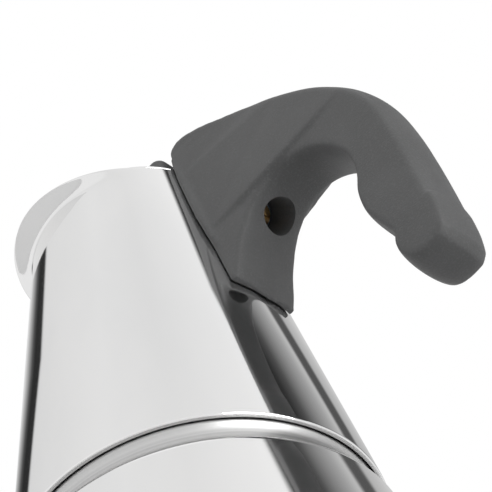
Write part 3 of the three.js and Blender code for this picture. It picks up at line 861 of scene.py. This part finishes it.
def make_screw():
    """The slotted screw, its washer and the hinge pin."""
    direction = along_screw(1) - along_screw(0)
    head = spun("screw_skin", [
        (0, HEAD_SEAT + 3.0), (1.8, HEAD_SEAT + 2.9, 0.8), (3.0, HEAD_SEAT + 2.3, 0.8),
        (3.4, HEAD_SEAT + 1.3, 0.4), (3.4, HEAD_SEAT + 0.7, 0.1), (2, HEAD_SEAT + 0.7, 0.1),
        (2, -4.1, 0.3), (0, -4.1)], along_screw(0), direction, 0.2)
    across = Vector((0, 1, 0))
    deep = direction.normalized()
    wide = deep.cross(across)
    corners = [across * a * 5 + wide * b * 0.45 for a, b in ((-1, -1), (1, -1), (1, 1), (-1, 1))]
    start = along_screw(HEAD_SEAT + 1.9)
    rings = [[tuple(start + c) for c in corners], [tuple(start + deep * 4 + c) for c in corners]]
    vertices, faces = skin(rings, False, True)
    carve(head, mesh_object("slot", vertices, faces))
    wear(head, "brass", "jug", "handle_screw")
    washer = spun("washer_skin", [(2.3, HEAD_SEAT + 0.1), (4.3, HEAD_SEAT + 0.1),
                                  (4.3, HEAD_SEAT + 0.6), (2.3, HEAD_SEAT + 0.6)],
                  along_screw(0), direction, 0.1)
    wear(washer, "satin_steel", "jug", "handle_washer")
    reach = GRIP_HALF - 0.75
    pin = spun("hinge_pin_skin", [(0, -reach), (PIN_R, -reach, 0.3), (PIN_R, reach, 0.3),
                                  (0, reach)], (PIN_X, 0, PIN_Z), (0, 1, 0), 0.2)
    wear(pin, "satin_steel", "jug", "hinge_pin")


# ---------------------------------------------------------------- lid
def lid_dome(r):
    """Height of the lid's domed middle at a radius."""
    rim = RIM_Z + FACE_GAP + LID_T
    return rim + DOME_H * math.sqrt(max(0.0, 1 - (r / DOME_R) ** 2)) - DOME_SINK


def make_lid():
    """The domed lid with its flat rim."""
    z = RIM_Z + FACE_GAP
    edge = jug_r(RIM_Z) - 0.2
    radii = [24.4 * math.sin(math.pi / 2 * n / 16) for n in range(16, -1, -1)]
    arc = [(r, lid_dome(r), 0) for r in radii if r > 2.4]
    under = [(r - 0.1, h - LID_T, 0) for r, h, _ in reversed(arc)]
    dish = turned("lid_skin", [
        (2.3, lid_dome(0) - LID_T, 0), *under, (25.4, z - 2.6, 0.2), (26.4, z - 2.6, 0.3),
        (26.6, z, 0.2), (edge, z, 0.35), (edge, z + LID_T, 0.35), (25.6, z + LID_T, 0.5),
        *arc, (2.3, lid_dome(0), 0)], 0.2)
    wear(dish, "polished_steel", "lid", "lid")


def make_knob():
    """The lid's knob."""
    z = LID_TOP + FACE_GAP
    knob = turned("knob_skin", [
        (0, z + 9), (2.4, z + 9, 0), (2.4, z, 0), (6.6, z, 0.5), (6.7, z + 1.2, 0.8),
        (5.9, z + 3.6, 2), (6.4, z + 6.2, 2), (8.8, z + 9.4, 2), (8.9, z + 12, 2),
        (7.2, z + 14.6, 2.4), (3.6, z + 15.7, 2.4), (0, z + 15.8)], 0.4, 128, 50)
    wear(knob, "soft_touch", "lid", "lid_knob")


def rounded_ring(x0, x1, half, z, steps=8):
    """A level rectangle with round corners."""
    r = min(2.6, (x1 - x0) / 2 - 0.1, half - 0.1)
    corners = [(x1 - r, half - r), (x0 + r, half - r), (x0 + r, r - half), (x1 - r, r - half)]
    ring = []
    for quarter, (x, y) in enumerate(corners):
        for n in range(steps + 1):
            angle = (quarter + n / steps) * math.pi / 2
            ring.append((x + r * math.cos(angle), y + r * math.sin(angle), z))
    return ring


def low_block(name, x0, x1, half, soft):
    """A block above the rim whose upper edges are rounded by `soft`."""
    low = RIM_Z + 0.5
    high = PIN_Z + 2.2
    rings = [rounded_ring(x0, x1, half, low), rounded_ring(x0, x1, half, high - soft)]
    for n in range(1, 7):
        turn = math.pi / 2 * n / 6
        trim = soft * (1 - math.cos(turn))
        rings.append(rounded_ring(x0 + trim, x1 - trim, half - trim,
                                  high - soft + soft * math.sin(turn)))
    vertices, faces = skin(rings, False, True)
    return mesh_object(name, vertices, faces)


def make_hinge_block():
    """Wings across the lid, a neck and a knuckle on the hinge pin, in one skin."""
    wings = low_block("hinge_block", PIN_X - 11.5, PIN_X - 5.2, 12, 1.4)
    neck = low_block("neck", PIN_X - 9, PIN_X - 0.5, KNUCKLE_HALF, 1.6)
    knuckle = cutter_bar("knuckle", LUG_R - CUT_GAP, (PIN_X, -KNUCKLE_HALF, PIN_Z),
                         (PIN_X, KNUCKLE_HALF, PIN_Z), 64)
    block_body = gathered(wings, neck, knuckle)
    melted(block_body, 0.3, 5)
    top = [(r, lid_dome(r) + 0.1, 0) for r in (25, 24.4, 23, 21, 16.5, 11, 5.5)]
    room = turned("room", [(0, RIM_Z - 7), (40, RIM_Z - 7, 0), (40, RIM_Z + 1, 0),
                           (25.6, RIM_Z + 1, 0), *top, (0, lid_dome(0) + 0.1)], 0, 160)
    pin = cutter_bar("pin", PIN_R + CUT_GAP / 2, (PIN_X, -20, PIN_Z), (PIN_X, 20, PIN_Z))
    carve(block_body, room, pin)
    block_body.name = "hinge_block_skin"
    wear(block_body, "soft_touch", "lid", "lid_hinge_block")


# ---------------------------------------------------------------- solid nodes that stay
NODE_FINISH = {
    "valve_body": "brass", "valve_nut": "brass", "valve_pin": "brass", "handle_nut": "brass",
    "valve_seal": "silicone", "gasket": "silicone", "valve_spring": "satin_steel",
    "funnel_basket": "satin_steel", "basket_sieve": "satin_steel",
    "filter_plate": "satin_steel", "jug_floor": "satin_steel",
    "riser_column": "satin_steel", "column_cap": "satin_steel", "knob_screw": "satin_steel",
}


def finish_nodes():
    """Gives the solid nodes that stay visible their finish and smooth shading."""
    for node, slot in NODE_FINISH.items():
        obj = frame["nodes"][node]
        obj.data.materials.clear()
        obj.data.materials.append(finish_of(slot))
        shade(obj.data, 28)


# ---------------------------------------------------------------- studio
# Brightness of the studio by compass direction in degrees, counted from SKY_TURN.
SKY_TURN = 12
SKY = [(-180, 0.80), (-156, 0.84), (-109, 0.90), (-60, 0.87), (-10, 0.96), (0, 1.0),
       (4, 0.035), (18, 0.03), (26, 0.09), (32, 0.20), (38, 0.30), (46, 0.42), (54, 0.60),
       (57, 0.10), (67, 0.10), (71, 0.50), (90, 0.62), (138, 0.75), (150, 0.40), (160, 0.09),
       (166, 0.03), (176, 0.03), (179, 0.80)]


def ramp(tree, factor, stops):
    """Greys between the given (position, level) stops."""
    made = tree.raw("ShaderNodeValToRGB", {}, factor)
    elements = made.color_ramp.elements  # a new ramp already has two stops
    while len(elements) > 1:
        elements.remove(elements[-1])
    elements[0].position = stops[0][0]
    elements[0].color = grey(stops[0][1])
    for position, level in stops[1:]:
        made_stop = elements.new(position)
        made_stop.color = grey(level)
    return Value(tree, made.outputs[0])


def make_world():
    """The studio's light for everything but the camera, which sees plain white."""
    world = bpy.data.worlds.new("studio")
    world.use_nodes = True
    bpy.context.scene.world = world
    tree = Tree(world.node_tree)
    direction = tree.output("ShaderNodeTexCoord", {}, "Generated")
    x, y, z = tree.parts(direction)
    compass = tree.node("ShaderNodeMath", {"operation": "ARCTAN2"}, y, x)
    turn = (compass / (2 * math.pi) + 0.5 + (1 - SKY_TURN / 360)).fraction()
    sides = ramp(tree, turn, [((deg + 180) / 360, level) for deg, level in SKY])
    top = tree.blend(z.above(0.93, 0.985), sides, grey(1.0))
    all_round = tree.blend(z.above(0.35, 0.55), grey(0.95), top)
    lit = tree.raw("ShaderNodeBackground", {}, all_round, 1.0)
    plain = tree.raw("ShaderNodeBackground", {}, grey(1.0), 1.0)
    seen = tree.output("ShaderNodeLightPath", {}, "Is Camera Ray")
    mixed = tree.raw("ShaderNodeMixShader", {}, seen)
    tree.links.new(lit.outputs[0], mixed.inputs[1])
    tree.links.new(plain.outputs[0], mixed.inputs[2])
    out = tree.raw("ShaderNodeOutputWorld", {})
    tree.links.new(mixed.outputs[0], out.inputs[0])


def make_floor():
    """A pale floor that can be seen only from above."""
    size = 1500
    ring = [(-size, -size, -0.4), (size, -size, -0.4), (size, size, -0.4), (-size, size, -0.4)]
    floor = mesh_object("floor", ring, [(0, 1, 2, 3)])
    material, tree = new_material("floor", grey(0.8), 0.0, 0.8)
    at = tree.place()
    colour = tree.blend(tree.noise(at, 6.0), grey(0.90), grey(0.94))
    face = tree.raw("ShaderNodeBsdfPrincipled", {}, Base_Color=colour, Roughness=0.7)
    clear = tree.raw("ShaderNodeBsdfTransparent", {})
    below = tree.output("ShaderNodeNewGeometry", {}, "Backfacing")
    mixed = tree.raw("ShaderNodeMixShader", {}, below)
    tree.links.new(face.outputs[0], mixed.inputs[1])
    tree.links.new(clear.outputs[0], mixed.inputs[2])
    out = tree.raw("ShaderNodeOutputMaterial", {})
    tree.links.new(mixed.outputs[0], out.inputs[0])
    floor.data.materials.append(material)
    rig.stage(floor)


def make_camera():
    """The camera, low beside the pot and looking up."""
    data = bpy.data.cameras.new("camera")
    data.lens = bpy.context.scene.moka.lens
    data.clip_start = 0.01
    camera = bpy.data.objects.new("camera", data)
    bpy.context.scene.collection.objects.link(camera)
    forward = Vector(CAMERA_FORWARD).normalized()
    right = forward.cross(Vector(CAMERA_UP)).normalized()
    up = right.cross(forward)
    turn = Matrix((right, up, -forward)).transposed().to_4x4()
    camera.matrix_world = Matrix.Translation(CAMERA_AT) @ turn
    bpy.context.scene.camera = camera


def make_lamp():
    """A broad soft lamp beyond the handle that rims its outer face."""
    data = bpy.data.lights.new("key", "AREA")
    data.shape = "RECTANGLE"
    data.size = 0.5
    data.size_y = 0.5
    data.energy = bpy.context.scene.moka.lamp_power
    lamp = bpy.data.objects.new("key", data)
    bpy.context.scene.collection.objects.link(lamp)
    at = Vector((0.75, -0.1, 0.1))
    lamp.location = at
    lamp.rotation_euler = (Vector((0.05, 0, 0.14)) - at).to_track_quat("-Z", "Y").to_euler()
    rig.stage(lamp)


def make_stage():
    scene = bpy.context.scene
    scene.view_settings.view_transform = "Standard"
    make_world()
    make_floor()
    make_camera()
    make_lamp()


# ---------------------------------------------------------------- add-on
class MokaSettings(bpy.types.PropertyGroup):
    """Values the operators read."""

    lens: FloatProperty(
        name="Lens", description="Focal length of the camera", default=LENS, unit="CAMERA",
    )
    lamp_power: FloatProperty(
        name="Lamp Power", description="Strength of the soft lamp", default=4.0, unit="POWER",
    )
    jug_sides: IntProperty(
        name="Jug Sides", description="Facets around the jug wall", default=240, min=24,
    )


def run(operator, steps):
    """Runs an operator's steps in order and reports what went wrong, if anything does."""
    try:
        for step in steps:
            step()
    except Exception as problem:
        raise RuntimeError(f"{operator.bl_label} failed: {problem}") from problem
    return {"FINISHED"}


class MOKA_OT_boiler(bpy.types.Operator):
    """Builds the boiler's skin, thread and base plate"""

    bl_idname = "moka.boiler"
    bl_label = "Boiler"

    def execute(self, context):
        return run(self, [make_boiler])


class MOKA_OT_jug(bpy.types.Operator):
    """Builds the jug's wall and the satin ring under it"""

    bl_idname = "moka.jug"
    bl_label = "Jug"

    def execute(self, context):
        return run(self, [make_jug, make_collar])


class MOKA_OT_handle(bpy.types.Operator):
    """Builds the hooked handle, its screw, its washer and the hinge pin"""

    bl_idname = "moka.handle"
    bl_label = "Handle"

    def execute(self, context):
        return run(self, [make_handle, make_screw])


class MOKA_OT_lid(bpy.types.Operator):
    """Builds the domed lid, its knob and its hinge block"""

    bl_idname = "moka.lid"
    bl_label = "Lid"

    def execute(self, context):
        return run(self, [make_lid, make_knob, make_hinge_block])


class MOKA_OT_inner_parts(bpy.types.Operator):
    """Gives the funnel, filter, gasket, column and valve their finishes"""

    bl_idname = "moka.inner_parts"
    bl_label = "Inner Parts"

    def execute(self, context):
        return run(self, [finish_nodes])


class MOKA_OT_stage(bpy.types.Operator):
    """Builds the studio: world, floor, camera and lamp"""

    bl_idname = "moka.stage"
    bl_label = "Stage"

    def execute(self, context):
        return run(self, [make_stage])


OPERATORS = (
    MOKA_OT_boiler, MOKA_OT_jug, MOKA_OT_handle, MOKA_OT_lid, MOKA_OT_inner_parts,
    MOKA_OT_stage,
)


class MOKA_PT_panel(bpy.types.Panel):
    """Lists the operators in the sidebar"""

    bl_label = "Moka Pot"
    bl_idname = "MOKA_PT_panel"
    bl_space_type = "VIEW_3D"
    bl_region_type = "UI"
    bl_category = "Moka Pot"

    def draw(self, context):
        for name in ("lens", "lamp_power", "jug_sides"):
            self.layout.prop(context.scene.moka, name)
        for operator in OPERATORS:
            self.layout.operator(operator.bl_idname)


CLASSES = (MokaSettings, *OPERATORS, MOKA_PT_panel)


def register():
    for cls in CLASSES:
        bpy.utils.register_class(cls)
    bpy.types.Scene.moka = PointerProperty(type=MokaSettings)


def unregister():
    del bpy.types.Scene.moka
    for cls in reversed(CLASSES):
        bpy.utils.unregister_class(cls)


def write_sizes():
    """Writes the shown object's box right after loading and at the end."""
    with open("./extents.json", "w") as out:
        out.write("{\n")
        for label, box, comma in (("at_start", SIZE_AT_START, ","), ("at_end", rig.bounds(), "")):
            low, high = box
            numbers = ", ".join(f"{c:.6f}" for c in (*low, *high))
            out.write(f'"{label}": [{numbers}]{comma}\n')
        out.write("}\n")


def main():
    register()
    for operator in OPERATORS:
        group, name = operator.bl_idname.split(".")
        getattr(getattr(bpy.ops, group), name)()
    write_sizes()


if __name__ == "__main__":
    main()
